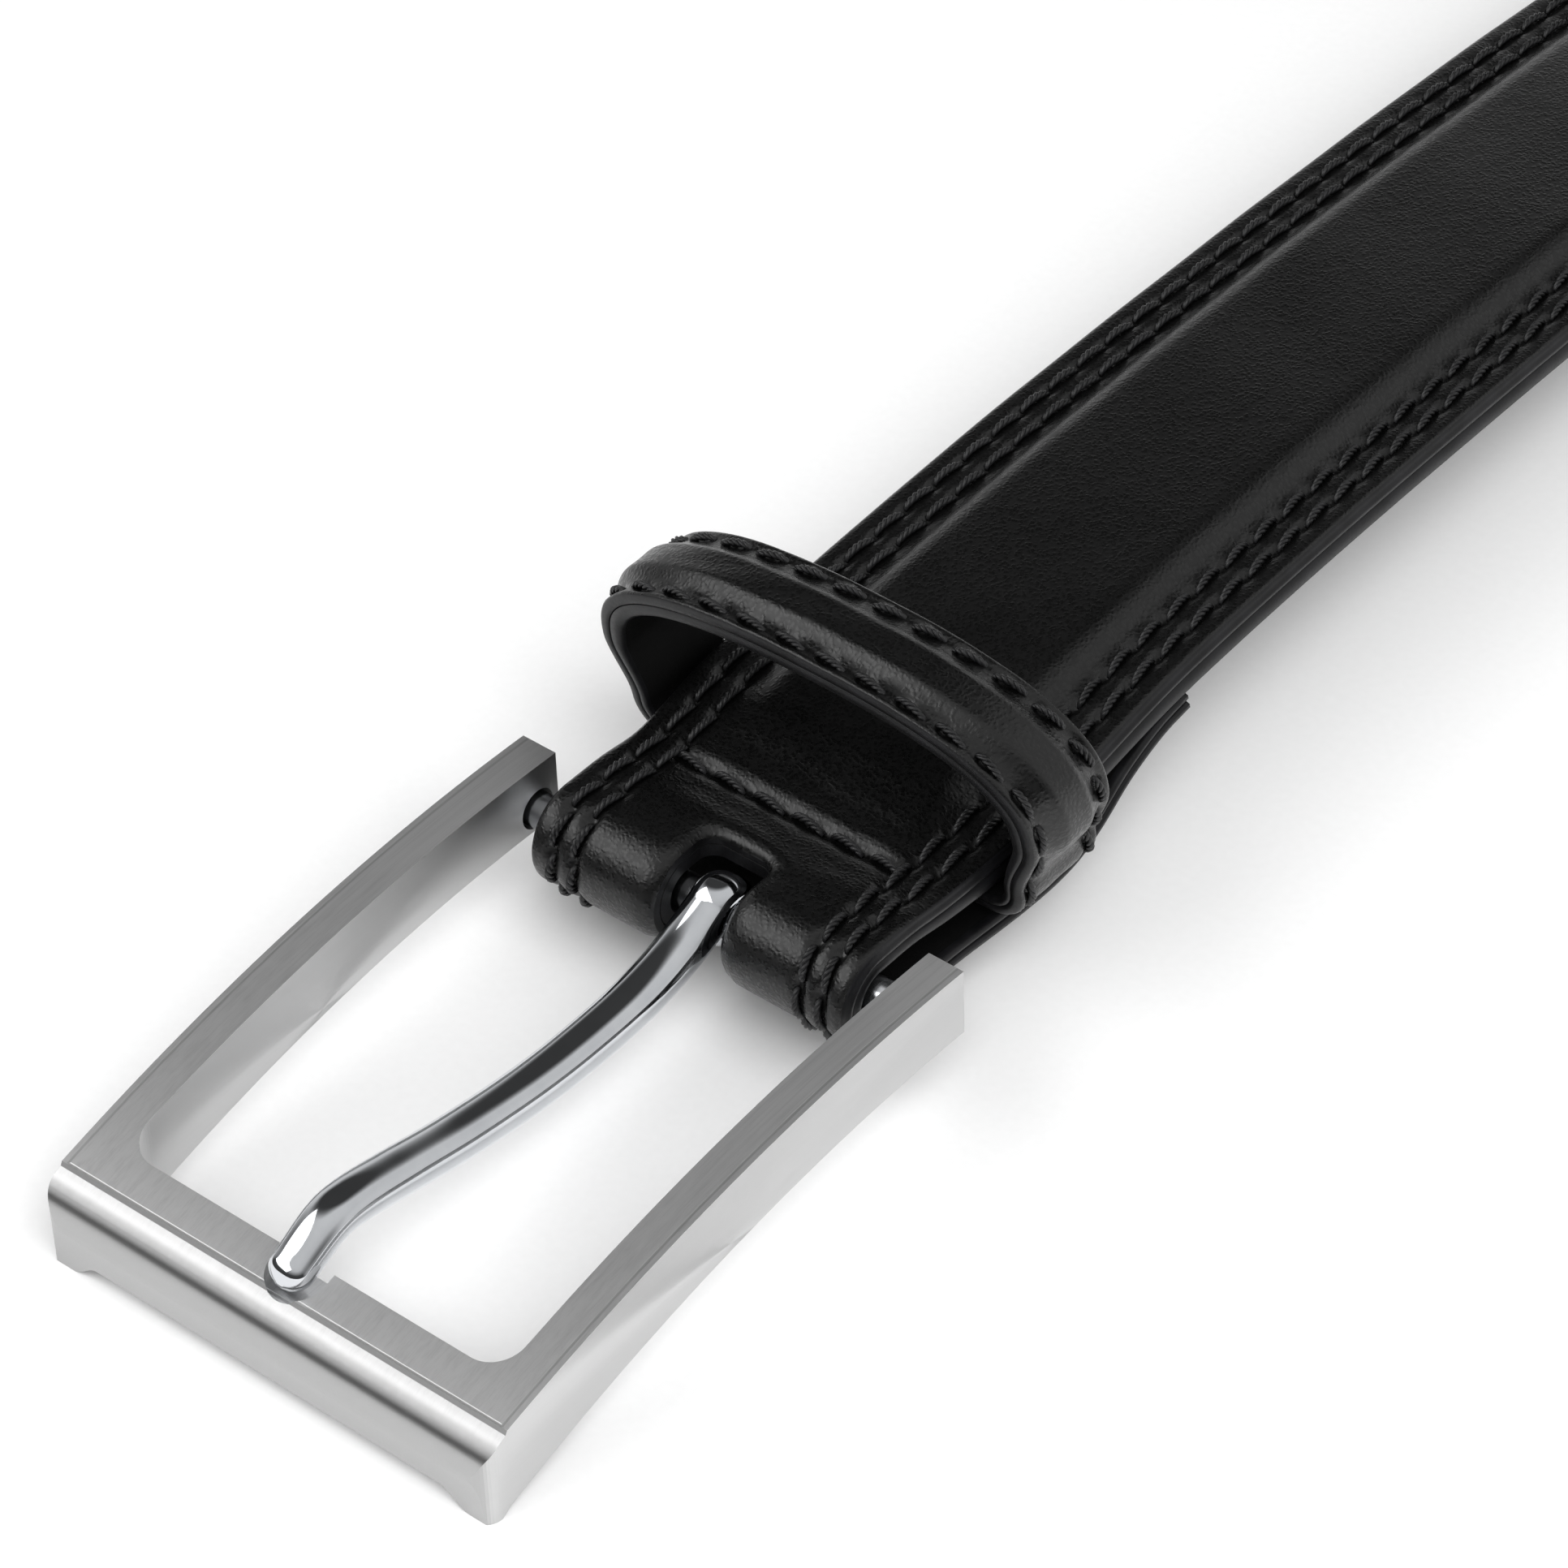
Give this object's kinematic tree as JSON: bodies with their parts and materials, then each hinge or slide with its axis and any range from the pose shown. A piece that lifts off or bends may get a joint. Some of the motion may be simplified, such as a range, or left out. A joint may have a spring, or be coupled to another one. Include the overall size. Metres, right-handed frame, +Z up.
{
  "type": "leather belt",
  "caption": "Black leather dress belt with a brushed metal prong buckle and a sewn keeper loop, strap rolled up behind the buckle.",
  "frame": {"origin": "on the surface the belt lies on, under the middle of its overall box", "axes": "+X across the strap, +Y along the strap from the buckle to the roll, +Z up"},
  "size_m": [0.046, 0.3178, 0.0829],
  "materials": {
    "brushed_nickel": "brushed along the strap, satin sides",
    "plated_steel": "plated round bar",
    "polished_chrome": "mirror polished",
    "black_calf": "fine pebbled grain, semi-gloss",
    "lining_leather": "matte lining with painted edge",
    "filler_board": "bonded leather board, hidden",
    "black_thread": "twisted waxed thread"
  },
  "bodies": {
    "strap": {"strap_grain_leather": "black_calf", "strap_lining": "lining_leather", "strap_filler": "filler_board", "thread_left_outer": "black_thread", "thread_left_inner": "black_thread", "thread_right_inner": "black_thread", "thread_right_outer": "black_thread", "thread_cross_row": "black_thread"},
    "buckle": {"buckle_frame": "brushed_nickel", "heel_bar": "plated_steel"},
    "prong": {"prong": "polished_chrome"},
    "keeper": {"keeper_grain_leather": "black_calf", "keeper_lining": "lining_leather", "keeper_filler": "filler_board", "keeper_thread_front": "black_thread", "keeper_thread_back": "black_thread"}
  },
  "joints": [
    {"name": "buckle_swivel", "type": "hinge", "parent": "strap", "child": "buckle", "pos_m": [0, -0.10297, 0.0093], "axis": [-1, 0, 0], "range_deg": [-90, 35]},
    {"name": "prong_swing", "type": "hinge", "parent": "buckle", "child": "prong", "pos_m": [0, -0.10297, 0.0093], "axis": [-1, 0, 0], "range_deg": [0, 75]},
    {"name": "keeper_slide", "type": "slide", "parent": "strap", "child": "keeper", "axis": [0, 1, 0], "range_m": [-0.002, 0.001]}
  ]
}
